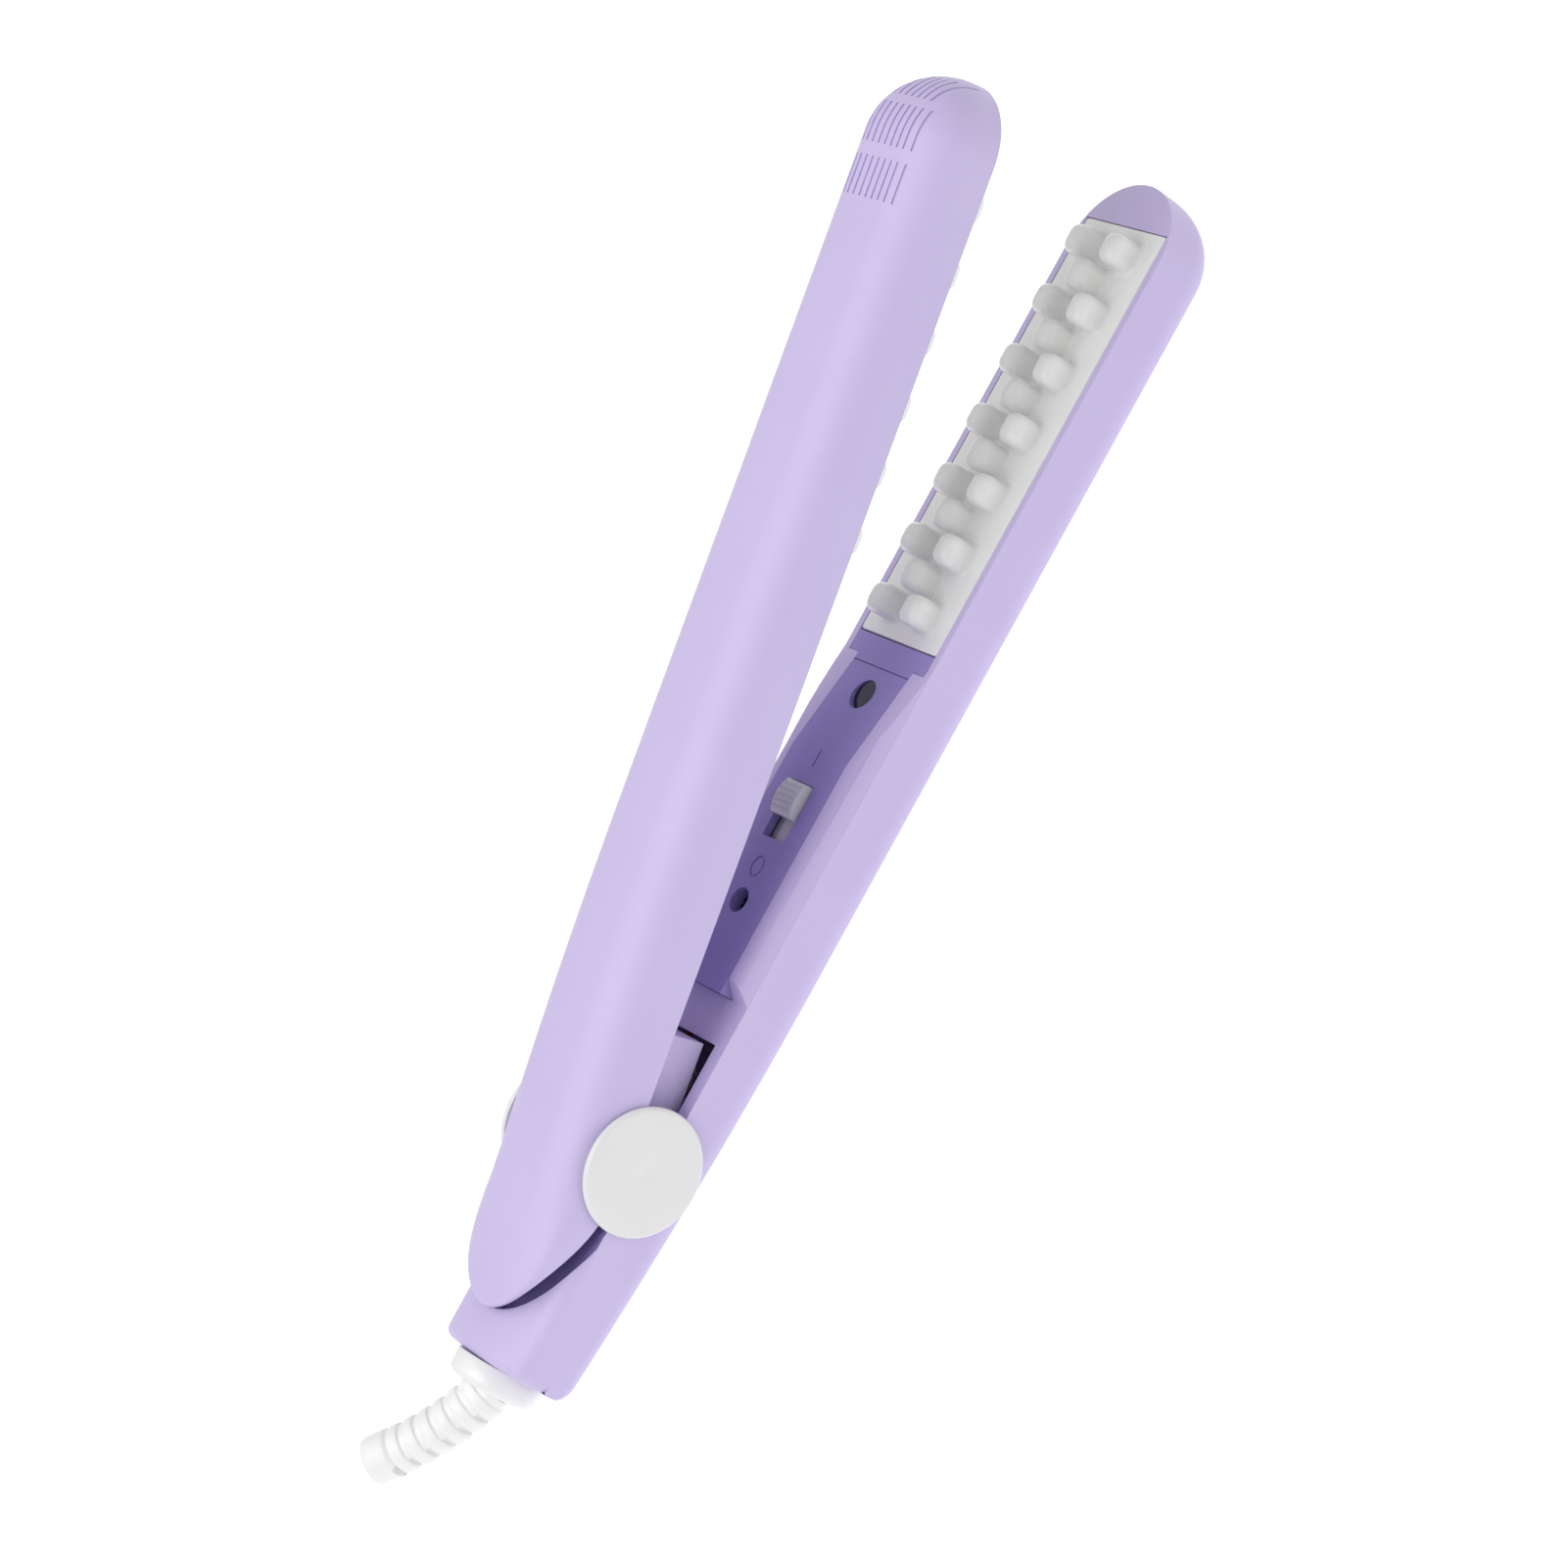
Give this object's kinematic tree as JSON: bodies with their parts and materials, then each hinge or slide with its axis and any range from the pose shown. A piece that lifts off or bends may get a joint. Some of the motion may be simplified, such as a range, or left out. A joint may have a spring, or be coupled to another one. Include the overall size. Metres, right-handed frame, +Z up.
{
  "type": "hair crimper",
  "caption": "Sprung two-arm hair crimper with staggered ceramic peg plates, a slide switch in the handle and a swivelling ribbed strain relief at the tail.",
  "frame": {"origin": "middle of the flat underside of the lower arm, which is the face it rests on", "axes": "+X from the tail to the tip, along the lower arm; +Y along the hinge pin; +Z up, the way the upper arm opens"},
  "size_m": [0.2917, 0.0355, 0.0737],
  "materials": {
    "lilac_shell": "soft-touch lilac",
    "violet_liner": "fine-textured violet",
    "white_ceramic": "satin glazed",
    "carrier_plastic": "heat-resistant moulding",
    "heater_aluminium": "extruded",
    "mica": "pressed sheet",
    "spring_steel": "bright",
    "fuse_case": "sleeved",
    "lead_sleeve": "silicone",
    "pin_steel": "ground",
    "bush_plastic": "self-lubricating",
    "white_cap": "satin white",
    "board_laminate": "solder mask",
    "switch_case_plastic": "moulded",
    "indicator_smoke": "smoked",
    "black_screw": "black oxide",
    "contact_brass": "bright",
    "knob_grey": "light grey",
    "swivel_white": "white",
    "boot_rubber": "white flexible"
  },
  "bodies": {
    "lower_arm": {"lower_shell": "lilac_shell", "lower_frame": "lilac_shell", "handle_liner": "violet_liner", "lower_peg_plate": "white_ceramic", "lower_plate_carrier": "carrier_plastic", "lower_heater": "heater_aluminium", "lower_mica_sheet": "mica", "lower_heater_clamp": "spring_steel", "thermal_fuse": "fuse_case", "lower_leads": "lead_sleeve", "hinge_pin": "pin_steel", "hinge_washers": "pin_steel", "hinge_cap_near": "white_cap", "hinge_cap_far": "white_cap", "return_spring": "spring_steel", "control_board": "board_laminate", "slide_switch_body": "switch_case_plastic", "indicator_lamp": "indicator_smoke", "indicator_lens": "indicator_smoke", "liner_screw": "black_screw", "contact_brushes": "contact_brass"},
    "upper_arm": {"upper_shell": "lilac_shell", "upper_frame": "lilac_shell", "upper_peg_plate": "white_ceramic", "upper_plate_carrier": "carrier_plastic", "upper_heater": "heater_aluminium", "upper_mica_sheet": "mica", "upper_heater_clamp": "spring_steel", "upper_leads": "lead_sleeve", "upper_screws": "black_screw", "hinge_bush": "bush_plastic"},
    "switch": {"switch_knob": "knob_grey"},
    "swivel": {"swivel_hub": "swivel_white", "slip_rings": "contact_brass", "strain_relief_boot": "boot_rubber"}
  },
  "joints": [
    {"name": "arm_hinge", "type": "hinge", "parent": "lower_arm", "child": "upper_arm", "pos_m": [-0.1042, 0, 0.0185], "axis": [0, 1, 0], "range_deg": [0, 10.5], "stiffness_Nm_per_rad": 0.6, "springref_deg": -20.05, "deforming": ["return_spring"]},
    {"name": "switch_slide", "type": "slide", "parent": "lower_arm", "child": "switch", "axis": [1, 0, 0], "range_m": [-0.0045, 0]},
    {"name": "cord_swivel", "type": "hinge", "parent": "lower_arm", "child": "swivel", "pos_m": [-0.15, 0, 0.0142], "axis": [1, 0, 0], "continuous": true}
  ]
}
